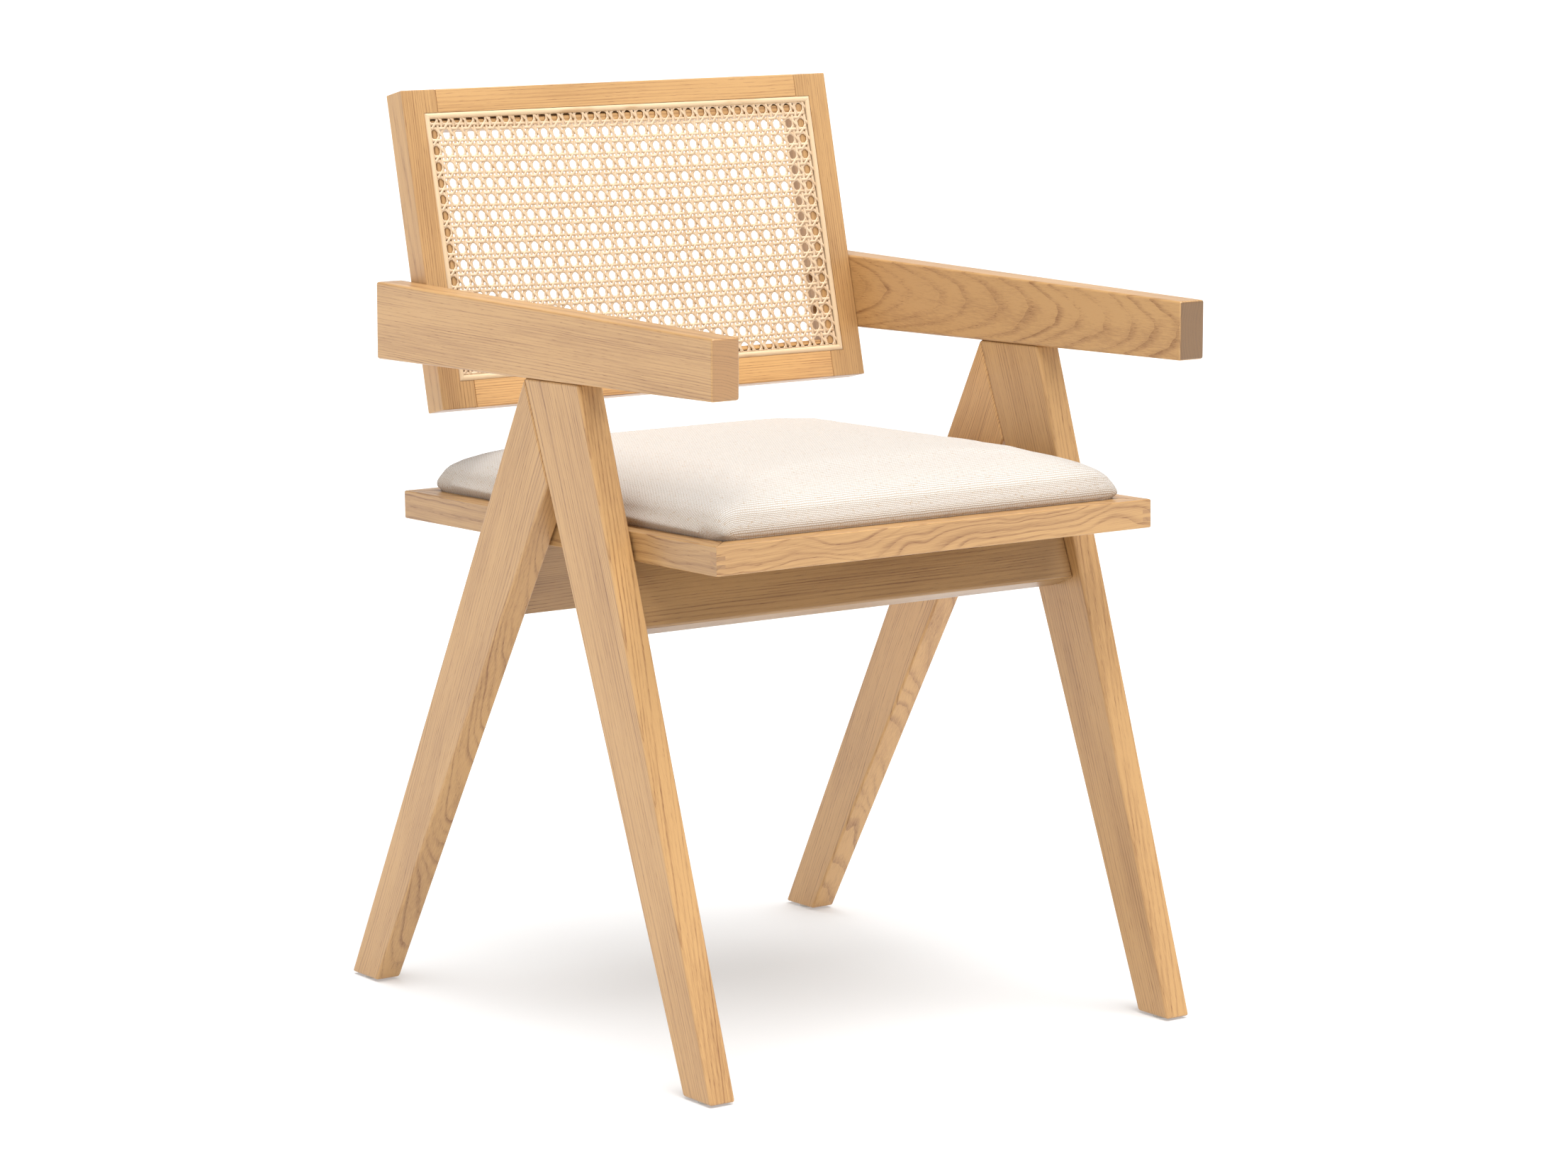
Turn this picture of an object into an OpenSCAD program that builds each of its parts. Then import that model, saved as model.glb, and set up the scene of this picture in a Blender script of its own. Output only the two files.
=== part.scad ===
// Armchair with two inverted-V side frames, a caned back panel and a drop-in seat pad.
// Millimetres. The floor is z = 0, the front faces -Y and the origin is under the middle of the chair.

/* [Overall] */
// Width over the two armrests
chair_w = 494; // [440:1:600]
// Depth from the tips of the arms to the heels of the rear feet
chair_d = 553; // [500:1:660]
// Height to the top of the back panel
chair_h = 771.6; // [720:0.1:930]

/* [Side frames] */
// Thickness of a leg, across the chair
leg_t = 24; // [18:1:34]
// Thickness of an armrest, across the chair
arm_t = 26; // [20:1:40]
// How far an armrest stands proud of the legs' outer faces
arm_proud = 1; // [0:0.5:3]
// Length of an armrest
arm_l = 495.5; // [440:0.5:560]
// Height of the armrests' top at the front tip
arm_top_z = 608; // [560:1:680]
// How much higher the armrests' top is at the rear end
arm_rise = 3.5; // [0:0.5:12]
// Height of an armrest at its front tip
arm_tip_h = 49; // [38:1:64]
// Height of an armrest at its rear end
arm_rear_h = 65.5; // [50:0.5:84]
// Front foot, behind the arm tip
foot_setback = 5.5; // [0:0.5:30]
// Length of the front foot on the floor
front_foot_l = 39; // [30:1:52]
// Length of the rear foot on the floor
rear_foot_l = 41; // [30:1:54]
// Front edge of the front leg where it meets the arm, behind the arm tip
leg_top_y = 189; // [150:0.5:230]
// Length of the front leg's top where it meets the arm
leg_top_l = 78.5; // [56:0.5:96]
// How far under the arm the two legs part
notch_drop = 83; // [60:1:110]

/* [Crossbars] */
// Thickness of a crossbar
bar_t = 28; // [20:1:36]
// Height of the front crossbar's lowest edge
front_bar_z = 361.5; // [335:0.5:385]
// Height of the rear crossbar's lowest edge
rear_bar_z = 347; // [330:0.5:380]
// Front face of a crossbar, behind the front edge of its leg
bar_setback = 10; // [4:1:18]

/* [Seat frame] */
// Gap between the seat frame and a leg
seat_gap = 2; // [1:0.5:12]
// Depth of the seat frame
seat_d = 464; // [420:1:500]
// Front of the seat frame, behind the arm tips
seat_setback = 33.5; // [10:0.5:60]
// Height of the seat frame's top at the front
seat_z = 441; // [415:1:470]
// How much lower the seat frame's top is at the back
seat_fall = 10; // [0:1:30]
// Height of a seat rail
rail_h = 24; // [18:1:36]
// Width of a seat rail, seen from above
rail_w = 22; // [16:1:30]
// Length of a corner finger
finger_l = 8.5; // [5:0.5:14]
// Thickness of a corner finger
finger_t = 3.3; // [2:0.1:4]
// Mitred part above the first finger
finger_top = 5; // [3:0.5:8]
// Thickness of the plywood seat board
board_t = 10; // [6:1:12]
// Depth of the rebate that holds the seat board
rebate = 6; // [4:1:10]

/* [Seat pad] */
// Thickness of the pad's own base board
pad_board_t = 5; // [3:1:8]
// Height of the pad's crown above the seat frame
pad_crown = 50; // [30:1:60]
// Height of the pad's upright side above the seat frame
pad_side_h = 10; // [8:1:26]
// How far the pad's side swells over the seat rails
pad_bulge = 8; // [0:0.5:12]
// Corner radius of the pad, seen from above
pad_r = 10; // [8:1:30]

/* [Back panel] */
// Bottom of the back panel, under the top of the armrests' front tips
back_drop = 101.2; // [94:0.1:110]
// Thickness of the back frame
back_t = 25; // [20:1:32]
// Lean of the back panel from upright, degrees
back_lean = 13.2; // [4:0.1:20]
// Bottom front edge of the back panel, behind the arm tips
back_y = 431.5; // [400:0.5:450]
// Width of a back stile, and height of a back rail
stile_w = 34; // [28:1:46]
// Ledge for the cane at the opening's sides and top
ledge_w = 7.2; // [4:0.1:10]
// Ledge for the cane at the opening's bottom
low_ledge_w = 4.2; // [3:0.1:10]
// Depth of the spline groove
groove_deep = 7; // [5:0.5:9]
// Width of the spline in the groove
spline_w = 5; // [3.5:0.1:6]
// Height of the spline's rounded top above the panel's face
spline_proud = 0.8; // [0.3:0.1:2]
// Thickness of the caned sheet
cane_t = 1.6; // [1:0.1:2.5]
// Face of the caned sheet below the face of the back frame
cane_drop = 0.4; // [0:0.1:2]

/* [Fastenings] */
// Diameter of the wood dowels
dowel_d = 8; // [6:1:10]
// Length of the wood dowels
dowel_l = 30; // [24:1:36]
// Depth of a crossbar dowel in the leg
leg_dowel_in = 12; // [8:1:16]
// Distance between the two dowels in a back rail's end
rail_dowel_pitch = 14; // [12:1:16]
// Distance between the two dowels in a crossbar's end
bar_dowel_pitch = 28; // [20:1:32]
// Distance between the two dowels on top of a front leg
arm_dowel_pitch = 26; // [20:1:34]
// First dowel of the joint between the legs, under the arm
scarf_dowel_first = 42; // [38:1:46]
// Distance between the two dowels of the joint between the legs
scarf_dowel_pitch = 24; // [18:1:26]
// Diameter of the bolts that hold the back to the arms
bolt_d = 6; // [5:1:8]
// How far a back bolt's shank reaches into the arm
bolt_bite = 15; // [8:1:18]
// Diameter of a back bolt's head
bolt_head_d = 11; // [9:1:14]
// Height of a back bolt's head
bolt_head_h = 5; // [3:0.5:6]
// Depth of the counterbore for a back bolt's head
bolt_sink = 9; // [7:1:12]
// First back bolt, up the back panel from its bottom
bolt_up = 62; // [56:1:70]
// Distance between the two back bolts on a side
bolt_pitch = 30; // [20:1:34]
// Outer diameter of the threaded inserts in the arms
insert_d = 10; // [9:1:12]
// Length of the threaded inserts
insert_l = 15; // [10:1:18]
// Diameter of the screws that hold the seat to the crossbars
seat_screw_d = 5; // [4:0.5:6]
// Seat screws, out from the middle of the chair
seat_screw_x = 130; // [80:1:160]
// How far a seat screw bites into a crossbar
seat_screw_bite = 25; // [12:1:30]
// Diameter of the screws that hold the pad
pad_screw_d = 4; // [3:0.5:5]
// Pad screws, in from the inner faces of the seat rails
pad_screw_in = 45; // [30:1:80]
// Diameter of a foot glide
glide_d = 18; // [12:1:22]
// Thickness of a foot glide
glide_h = 2; // [1:0.5:5]
// Diameter of a foot glide's nail
nail_d = 3; // [2:0.5:4]
// Length of a foot glide's nail
nail_l = 14; // [10:1:20]

/* [Fits] */
// Clearance around dowels, nails and screws in their holes, on the diameter
hole_fit = 0.2; // [0:0.05:0.5]
// Clearance around the seat boards, on each side
board_fit = 0.5; // [0.2:0.1:1.5]
// Clearance around a spline and a bolt's head, on each side
seat_fit = 0.1; // [0.05:0.05:0.5]

/* [Hidden] */
$fn = 48;

WOOD = [0.84, 0.67, 0.45];
LIGHT_WOOD = [0.90, 0.76, 0.55];
PLY = [0.80, 0.70, 0.54];
CANE = [0.93, 0.84, 0.66];
CLOTH = [0.88, 0.83, 0.77];
STEEL = [0.72, 0.72, 0.74];
PLASTIC = [0.90, 0.88, 0.84];
LEFT = -1;
RIGHT = 1;
cut = 1;                                   // overshoot of a cutter past the face it opens

front_y = -chair_d / 2;                    // the arm tips
arm_out = chair_w / 2;
arm_in = arm_out - arm_t;
leg_out = arm_out - arm_proud;
leg_in = leg_out - leg_t;
seat_w = 2 * (leg_in - seat_gap);

// ---- side frame outlines, as [y, z] ----
function topside(y) = arm_top_z + arm_rise * (y - front_y) / arm_l;
function underside(y) = topside(y) - arm_tip_h - (arm_rear_h - arm_tip_h) * (y - front_y) / arm_l;
function along(a, b, z) = a + (b - a) * (z - a[1]) / (b[1] - a[1]);   // point of line a-b at height z

ff0 = [front_y + foot_setback, glide_h];                     // front leg, front edge, floor
fb0 = ff0 + [front_foot_l, 0];                               // front leg, back edge, floor
ff1 = [front_y + leg_top_y, underside(front_y + leg_top_y)]; // front leg, front edge, arm
apex = [ff1[0] + leg_top_l, underside(ff1[0] + leg_top_l)];  // front leg, back edge, arm
notch = along(fb0, apex, apex[1] - notch_drop);              // where the legs part
rb0 = [front_y + chair_d, glide_h];                          // rear leg, back edge, floor
rf0 = rb0 - [rear_foot_l, 0];                                // rear leg, front edge, floor
joint_lean = atan((apex[0] - fb0[0]) / (apex[1] - fb0[1]));  // front leg's back edge from upright
rear_lean = atan((rb0[0] - apex[0]) / (apex[1] - rb0[1]));   // rear leg's back edge from upright

// ---- seat frame: its own frame has its top at z = 0 and its front at y = 0 ----
seat_tilt = asin(seat_fall / seat_d);
seat_y = front_y + seat_setback;
function seat_under(y) = seat_z - rail_h / cos(seat_tilt) - (y - seat_y) * tan(seat_tilt);

// ---- crossbar sections, as [y, z], bottom front edge first ----
// low: bottom front edge, up: unit vector up the face, rear: unit vector through the thickness
function rise(p, up) = (seat_under(p[0]) - p[1]) / (up[1] + up[0] * tan(seat_tilt));
function section(low, up, rear) = let (back = low + rear * bar_t)
    [low, back, back + up * rise(back, up), low + up * rise(low, up)];

fbar_up = [sin(joint_lean), cos(joint_lean)];
fbar_rear = [cos(joint_lean), -sin(joint_lean)];
fbar_low = along(ff0, ff1, front_bar_z) + [bar_setback / cos(joint_lean), 0];
rbar_up = [-sin(rear_lean), cos(rear_lean)];
rbar_rear = [cos(rear_lean), sin(rear_lean)];
rbar_low = along(rf0, notch, rear_bar_z) + [bar_setback / cos(rear_lean), 0];
// [middle of the bottom face, direction up the middle, length up the middle]
function middle(low, up, rear) = let (p = low + rear * bar_t / 2) [p, up, rise(p, up)];
fbar_mid = middle(fbar_low, fbar_up, fbar_rear);
rbar_mid = middle(rbar_low, rbar_up, rbar_rear);

// ---- back panel: its own frame has its front face at y = 0 and its bottom at z = 0 ----
back_z = arm_top_z - back_drop;
back_h = (chair_h - back_z) / cos(back_lean);
opening_x = arm_in - stile_w;              // half width of the open middle
groove_w = spline_w + cane_t + 2 * seat_fit;
ledge_x = opening_x + ledge_w;             // inner wall of the groove
ledge_z0 = stile_w - low_ledge_w;
ledge_z1 = back_h - stile_w + ledge_w;
ring_x = ledge_x + groove_w;               // outer wall of the groove
ring_z0 = ledge_z0 - groove_w;
ring_z1 = ledge_z1 + groove_w;
ledge_y = cane_drop + cane_t;              // the sheet lies on this ledge
dowel_y = (back_t + groove_deep) / 2;      // rail dowels, clear of the groove

hole_d = dowel_d + hole_fit;

// ---- helpers ----
// Extrudes an outline in [y, z] from x0 to x1
module slab(outline, x0, x1)
    translate([x0, 0, 0]) rotate([90, 0, 90]) linear_extrude(x1 - x0) polygon(outline);
// Side slab on the left (-1) or right (1), between two distances from the middle
module side_slab(side, outline, inner, outer)
    if (side == RIGHT) slab(outline, inner, outer); else slab(outline, -outer, -inner);
module peg(d, l) cylinder(d = d, h = l, center = true);
module block(low, high) translate(low) cube(high - low);
module in_seat() translate([0, seat_y, seat_z]) rotate([-seat_tilt, 0, 0]) children();
module on_back() translate([0, front_y + back_y, back_z]) rotate([-back_lean, 0, 0]) children();

// ---- places of the fastenings ----
module at_arm_dowels(side) for (k = [-1, 1]) let (y = (ff1[0] + apex[0]) / 2 + k * arm_dowel_pitch / 2)
    translate([side * (leg_in + leg_t / 2), y, underside(y)]) children();
module at_scarf_dowels(side) for (k = [0, 1]) let (s = scarf_dowel_first + k * scarf_dowel_pitch)
    translate([side * (leg_in + leg_t / 2), apex[0] - s * sin(joint_lean), apex[1] - s * cos(joint_lean)])
        rotate([-90 - joint_lean, 0, 0]) children();
module at_bar_dowels(mid, side) for (k = [-1, 1])
    let (p = mid[0] + mid[1] * (mid[2] + k * bar_dowel_pitch) / 2)
        translate([side * (leg_in + leg_dowel_in - dowel_l / 2), p[0], p[1]]) rotate([0, 90, 0]) children();
module at_rail_dowels(side, low) for (k = [-1, 1])
    translate([side * opening_x, dowel_y, low + stile_w / 2 + k * rail_dowel_pitch / 2])
        rotate([0, 90, 0]) children();
module at_bolts(side) on_back() for (k = [0, 1])
    translate([side * arm_in, back_t / 2, bolt_up + k * bolt_pitch]) rotate([0, side * 90, 0]) children();
module at_seat_screws() for (side = [LEFT, RIGHT], mid = [fbar_mid, rbar_mid])
    let (top = mid[0] + mid[1] * mid[2])
        translate([side * seat_screw_x, top[0], top[1]]) rotate([-seat_tilt, 0, 0]) children();
module at_pad_screws() in_seat() let (in = rail_w + pad_screw_in)
    for (x = [-1, 1], y = [in, seat_d - in]) translate([x * (seat_w / 2 - in), y, -rail_h]) children();
module at_foot(side, toe, l) translate([side * (leg_in + leg_t / 2), toe[0] + l / 2, 0]) children();

module dowel_hole() peg(hole_d, dowel_l + 2 * hole_fit);
// A seat screw's hole, from a depth below the seat board's underside to above the board
module screw_bore(bite) translate([0, 0, -bite - hole_fit])
    cylinder(d = seat_screw_d + hole_fit, h = bite + 2 * board_t);
module nail_hole() cylinder(d = nail_d + hole_fit, h = glide_h + nail_l + hole_fit);

// ---- side frames ----
module arm(side) color(WOOD) difference() {
    side_slab(side, [[front_y, underside(front_y)], [front_y + arm_l, underside(front_y + arm_l)],
        [front_y + arm_l, topside(front_y + arm_l)], [front_y, topside(front_y)]], arm_in, arm_out);
    at_arm_dowels(side) dowel_hole();
    at_bolts(side) translate([0, 0, -cut]) {
        cylinder(d = insert_d + hole_fit, h = insert_l + hole_fit + cut);
        cylinder(d = bolt_d + hole_fit, h = bolt_bite + hole_fit + cut);
    }
}
module front_leg(side) color(WOOD) difference() {
    side_slab(side, [ff0, fb0, apex, ff1], leg_in, leg_out);
    at_arm_dowels(side) dowel_hole();
    at_scarf_dowels(side) dowel_hole();
    at_bar_dowels(fbar_mid, side) dowel_hole();
    at_foot(side, ff0, front_foot_l) nail_hole();
}
module rear_leg(side) color(WOOD) difference() {
    side_slab(side, [rf0, rb0, apex, notch], leg_in, leg_out);
    at_scarf_dowels(side) dowel_hole();
    at_bar_dowels(rbar_mid, side) dowel_hole();
    at_foot(side, rf0, rear_foot_l) nail_hole();
}
module glide(side, toe, l) color(PLASTIC) at_foot(side, toe, l) {
    cylinder(d = glide_d, h = glide_h);
    cylinder(d = nail_d, h = glide_h + nail_l);
}

// ---- crossbars ----
module crossbar(outline, mid) color(WOOD) difference() {
    slab(outline, -leg_in, leg_in);
    for (side = [LEFT, RIGHT]) at_bar_dowels(mid, side) dowel_hole();
    at_seat_screws() screw_bore(seat_screw_bite);
}

// ---- seat frame ----
// A rail of the given length along X, its outer face at y = 0, mitred, with the fingers of one parity
module rail(l, parity) {
    corner = [finger_l, finger_l];
    difference() {
        translate([0, 0, -rail_h]) linear_extrude(rail_h)
            polygon([[-l / 2, 0], [l / 2, 0], [l / 2 - rail_w, rail_w], [rail_w - l / 2, rail_w]]);
        for (side = [LEFT, RIGHT]) fingers(l, side, 1 - parity);
        block([-l, rail_w - rebate, -rail_h - cut], [l, rail_w + cut, board_t - rail_h]);
    }
    for (side = [LEFT, RIGHT]) fingers(l, side, parity);
}
// The corner squares that belong to the rails of one parity
module fingers(l, side, parity) for (k = [0, 1])
    let (top = -finger_top - (2 * k + parity) * finger_t, x = side * (l - finger_l) / 2)
        block([x - finger_l / 2, 0, top - finger_t], [x + finger_l / 2, finger_l, top]);
module seat_front_rail() color(WOOD) in_seat() rail(seat_w, 0);
module seat_rear_rail() color(WOOD) in_seat() translate([0, seat_d, 0]) rotate(180) rail(seat_w, 0);
module seat_side_rail(side) color(WOOD) in_seat() translate([side * seat_w / 2, seat_d / 2, 0])
    rotate(side * 90) rail(seat_d, 1);
module seat_board() color(PLY) difference() {
    in_seat() block([rail_w - rebate + board_fit - seat_w / 2, rail_w - rebate + board_fit, -rail_h],
        [seat_w / 2 - rail_w + rebate - board_fit, seat_d - rail_w + rebate - board_fit, board_t - rail_h]);
    at_seat_screws() {
        screw_bore(board_t);
        translate([0, 0, board_t - seat_screw_d / 2]) cylinder(d = 2 * seat_screw_d + hole_fit, h = board_t);
    }
    at_pad_screws() translate([0, 0, -cut]) {
        cylinder(d = pad_screw_d + hole_fit, h = board_t + 2 * cut);
        cylinder(d = 2 * pad_screw_d + hole_fit, h = pad_screw_d / 2 + hole_fit + cut);
    }
}
module pad_board() color(PLY) difference() {
    in_seat() block([rail_w + board_fit - seat_w / 2, rail_w + board_fit, board_t - rail_h],
        [seat_w / 2 - rail_w - board_fit, seat_d - rail_w - board_fit, board_t - rail_h + pad_board_t]);
    at_pad_screws() cylinder(d = pad_screw_d + hole_fit, h = rail_h);
}
module pad_screw() {
    translate([0, 0, hole_fit]) cylinder(d = 2 * pad_screw_d, h = pad_screw_d / 2);
    cylinder(d = pad_screw_d, h = board_t + pad_board_t);
}

// ---- seat pad: rings of rounded rectangles that rise and draw in ----
pad_x = seat_w / 2 - rail_w - board_fit;
pad_y = seat_d / 2 - rail_w - board_fit;
pad_bottom = board_t - rail_h + pad_board_t;
pad_arc = 8;                               // steps round a corner
side_steps = 6;
top_steps = 12;
crown_fullness = 2.2;                      // power of the curve over the crown
draw_in = 1.9;                             // power of the rings' drawing in towards the crown
corner_spread = 0.75;                      // how fast the corners round off as the rings draw in
flat = 1;                                  // least straight run of a ring
swell = 140;                               // part of a half turn that the swelling side makes
// [draw-in, height] up the swelling side, then over the crown
function pad_side(k) = let (t = k / side_steps) [-pad_bulge * sin(swell * t), pad_side_h * t];
function pad_top(k) = let (t = k / top_steps)
    [(pad_x + pad_bulge * sin(swell) - pad_r / 2) * pow(t, draw_in) - pad_bulge * sin(swell),
        pad_side_h + (pad_crown - pad_side_h) * (1 - pow(1 - t, crown_fullness))];
pad_profile = concat([[0, pad_bottom]], [for (k = [0 : side_steps]) pad_side(k)],
    [for (k = [1 : top_steps]) pad_top(k)]);
// [side in x, side in y, first angle] of each corner, round from the right rear
CORNERS = [[1, 1, 0], [-1, 1, 90], [-1, -1, 180], [1, -1, 270]];
// A rounded rectangle drawn in by p[0] at height p[1]
function pad_ring(p) = let (x = pad_x - p[0], y = pad_y - p[0])
    let (r = min(x - flat, pad_r + max(p[0], 0) * corner_spread))
        [for (c = CORNERS, k = [0 : pad_arc]) let (a = c[2] + 90 * k / pad_arc)
            [c[0] * (x - r) + r * cos(a), c[1] * (y - r) + r * sin(a), p[1]]];
module seat_pad() color(CLOTH) in_seat() translate([0, seat_d / 2, 0]) {
    n = 4 * (pad_arc + 1);
    last = len(pad_profile) - 1;
    polyhedron([for (p = pad_profile) each pad_ring(p)], concat(
        [[for (i = [0 : n - 1]) i]],
        [for (j = [0 : last - 1], i = [0 : n - 1]) let (a = j * n + i, b = j * n + (i + 1) % n) each
            [[a, a + n, b], [b, a + n, b + n]]],
        [[for (i = [n - 1 : -1 : 0]) last * n + i]]));
}

// ---- back panel ----
// Groove for the splines and the sunk ledge inside it
module cane_bed() {
    difference() {
        block([-ring_x, -cut, ring_z0], [ring_x, groove_deep, ring_z1]);
        block([-ledge_x, -2 * cut, ledge_z0], [ledge_x, groove_deep + cut, ledge_z1]);
    }
    block([-ledge_x - cut, -cut, ledge_z0 - cut], [ledge_x + cut, ledge_y, ledge_z1 + cut]);
}
module back_stile(side) color(WOOD) difference() {
    on_back() difference() {
        translate([side * (arm_in - stile_w / 2) - stile_w / 2, 0, 0]) cube([stile_w, back_t, back_h]);
        cane_bed();
        at_rail_dowels(side, 0) dowel_hole();
        at_rail_dowels(side, back_h - stile_w) dowel_hole();
    }
    at_bolts(side) translate([0, 0, -stile_w - cut]) {
        cylinder(d = bolt_d + hole_fit, h = stile_w + 2 * cut);
        cylinder(d = bolt_head_d + 2 * seat_fit, h = bolt_sink + cut);
    }
}
module back_rail(low) color(WOOD) on_back() difference() {
    block([-opening_x, 0, low], [opening_x, back_t, low + stile_w]);
    cane_bed();
    for (side = [LEFT, RIGHT]) at_rail_dowels(side, low) dowel_hole();
}
// Sheet on the ledge, its edge turned down the groove's inner wall
module cane_panel() color(CANE) on_back() {
    block([-ledge_x - cane_t, cane_drop, ledge_z0 - cane_t], [ledge_x + cane_t, ledge_y, ledge_z1 + cane_t]);
    difference() {
        block([-ledge_x - cane_t, cane_drop, ledge_z0 - cane_t],
            [ledge_x + cane_t, groove_deep - cane_t, ledge_z1 + cane_t]);
        block([-ledge_x, 0, ledge_z0], [ledge_x, back_t, ledge_z1]);
    }
}
// Reed section, its outer side at x = 0, its back at y = groove depth, with an arched front
module spline_section() {
    arch_r = (spline_w * spline_w / 4 + 4 * spline_proud * spline_proud) / (4 * spline_proud);
    translate([0, spline_proud]) square([spline_w, groove_deep - 2 * spline_proud]);
    intersection() {
        translate([0, -spline_proud]) square([spline_w, 3 * spline_proud]);
        translate([spline_w / 2, arch_r - spline_proud]) circle(r = arch_r, $fn = 96);
    }
}
// A mitred reed of the given length, standing along +Z with its outer side at x = 0
module spline(l) intersection() {
    linear_extrude(l) spline_section();
    translate([0, groove_deep, 0]) rotate([90, 0, 0]) linear_extrude(2 * groove_deep)
        polygon([[0, 0], [spline_w, spline_w], [spline_w, l - spline_w], [0, l]]);
}
spline_h = ring_z1 - ring_z0 - 2 * seat_fit;
spline_l = 2 * (ring_x - seat_fit);
module spline_left() color(LIGHT_WOOD) on_back()
    translate([seat_fit - ring_x, 0, ring_z0 + seat_fit]) spline(spline_h);
module spline_right() color(LIGHT_WOOD) mirror([1, 0, 0]) spline_left();
module spline_bottom() color(LIGHT_WOOD) on_back()
    translate([-spline_l / 2, 0, ring_z0 + seat_fit]) mirror([1, 0, -1]) spline(spline_l);
module spline_top() color(LIGHT_WOOD) on_back()
    translate([-spline_l / 2, 0, ring_z1 - seat_fit]) mirror([0, 0, 1]) mirror([1, 0, -1]) spline(spline_l);

// ---- fastenings ----
module arm_dowels() color(LIGHT_WOOD) for (side = [LEFT, RIGHT]) at_arm_dowels(side) peg(dowel_d, dowel_l);
module scarf_dowels() color(LIGHT_WOOD) for (side = [LEFT, RIGHT])
    at_scarf_dowels(side) peg(dowel_d, dowel_l);
module crossbar_dowels() color(LIGHT_WOOD) for (side = [LEFT, RIGHT], mid = [fbar_mid, rbar_mid])
    at_bar_dowels(mid, side) peg(dowel_d, dowel_l);
module back_rail_dowels() color(LIGHT_WOOD) on_back() for (side = [LEFT, RIGHT], low = [0, back_h - stile_w])
    at_rail_dowels(side, low) peg(dowel_d, dowel_l);
module back_bolts() color(STEEL) for (side = [LEFT, RIGHT])
    at_bolts(side) translate([0, 0, bolt_sink - stile_w]) {
        cylinder(d = bolt_d, h = stile_w - bolt_sink + bolt_bite);
        translate([0, 0, -bolt_head_h]) cylinder(d = bolt_head_d, h = bolt_head_h);
    }
module back_inserts() color(STEEL) for (side = [LEFT, RIGHT]) at_bolts(side) difference() {
    cylinder(d = insert_d, h = insert_l);
    translate([0, 0, -cut]) cylinder(d = bolt_d + hole_fit, h = insert_l + 2 * cut);
}
module seat_screws() color(STEEL) at_seat_screws() {
    translate([0, 0, -seat_screw_bite]) cylinder(d = seat_screw_d, h = seat_screw_bite + board_t);
    translate([0, 0, board_t - seat_screw_d / 2]) cylinder(d = 2 * seat_screw_d, h = seat_screw_d / 2);
}
module pad_screws() color(STEEL) at_pad_screws() pad_screw();

arm(LEFT);  // left_arm
arm(RIGHT);  // right_arm
front_leg(LEFT);  // left_front_leg
front_leg(RIGHT);  // right_front_leg
rear_leg(LEFT);  // left_rear_leg
rear_leg(RIGHT);  // right_rear_leg
crossbar(section(fbar_low, fbar_up, fbar_rear), fbar_mid);  // front_crossbar
crossbar(section(rbar_low, rbar_up, rbar_rear), rbar_mid);  // rear_crossbar
seat_front_rail();
seat_rear_rail();
seat_side_rail(LEFT);  // seat_left_rail
seat_side_rail(RIGHT);  // seat_right_rail
seat_board();
pad_board();
seat_pad();
back_stile(LEFT);  // back_left_stile
back_stile(RIGHT);  // back_right_stile
back_rail(back_h - stile_w);  // back_top_rail
back_rail(0);  // back_bottom_rail
cane_panel();
spline_left();
spline_right();
spline_top();
spline_bottom();
glide(LEFT, ff0, front_foot_l);  // left_front_glide
glide(RIGHT, ff0, front_foot_l);  // right_front_glide
glide(LEFT, rf0, rear_foot_l);  // left_rear_glide
glide(RIGHT, rf0, rear_foot_l);  // right_rear_glide
arm_dowels();
scarf_dowels();
crossbar_dowels();
back_rail_dowels();
back_bolts();
back_inserts();
seat_screws();
pad_screws();
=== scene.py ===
"""Armchair in clear-finished ash: softened solid wood, a woven cane back and a domed pad."""

import math

import bmesh
import bpy
from bpy.props import FloatProperty, FloatVectorProperty, IntProperty, PointerProperty
from bpy.types import Operator, Panel, PropertyGroup
from mathutils import Matrix, Vector, noise
from mathutils.bvhtree import BVHTree


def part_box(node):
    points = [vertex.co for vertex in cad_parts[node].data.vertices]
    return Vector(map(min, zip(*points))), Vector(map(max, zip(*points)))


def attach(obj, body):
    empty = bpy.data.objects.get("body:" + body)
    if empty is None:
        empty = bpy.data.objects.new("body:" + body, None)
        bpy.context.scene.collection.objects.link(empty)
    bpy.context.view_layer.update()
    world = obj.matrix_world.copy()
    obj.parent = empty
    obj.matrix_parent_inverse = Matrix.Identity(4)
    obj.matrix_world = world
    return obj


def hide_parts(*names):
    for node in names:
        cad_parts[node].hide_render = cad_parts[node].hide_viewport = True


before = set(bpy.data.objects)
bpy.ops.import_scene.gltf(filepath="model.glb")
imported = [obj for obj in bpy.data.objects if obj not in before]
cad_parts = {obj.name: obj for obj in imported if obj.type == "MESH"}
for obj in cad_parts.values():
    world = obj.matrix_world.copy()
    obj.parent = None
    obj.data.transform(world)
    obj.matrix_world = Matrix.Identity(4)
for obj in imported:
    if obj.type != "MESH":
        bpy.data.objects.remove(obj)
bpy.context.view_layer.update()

bl_info = {
    "name": "Cane-back armchair",
    "version": (1, 0, 0),
    "blender": (4, 5, 0),
    "location": "3D View > Sidebar > Armchair",
    "description": "Finishes a cane-back ash armchair on its packed frame",
    "category": "Object",
}

MM = 0.001


# ---- sizes and colours a user would change ----

def colour(name, description, value):
    return FloatVectorProperty(name=name, description=description, default=value, subtype="COLOR", size=3,
                               min=0, max=1)


def length(name, description, value):
    return FloatProperty(name=name, description=description, default=value, min=0, subtype="DISTANCE",
                         unit="LENGTH")


def angle(name, description, degrees):
    return FloatProperty(name=name, description=description, default=math.radians(degrees), subtype="ANGLE")


def strength(name, description, value):
    return FloatProperty(name=name, description=description, default=value, min=0)


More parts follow.
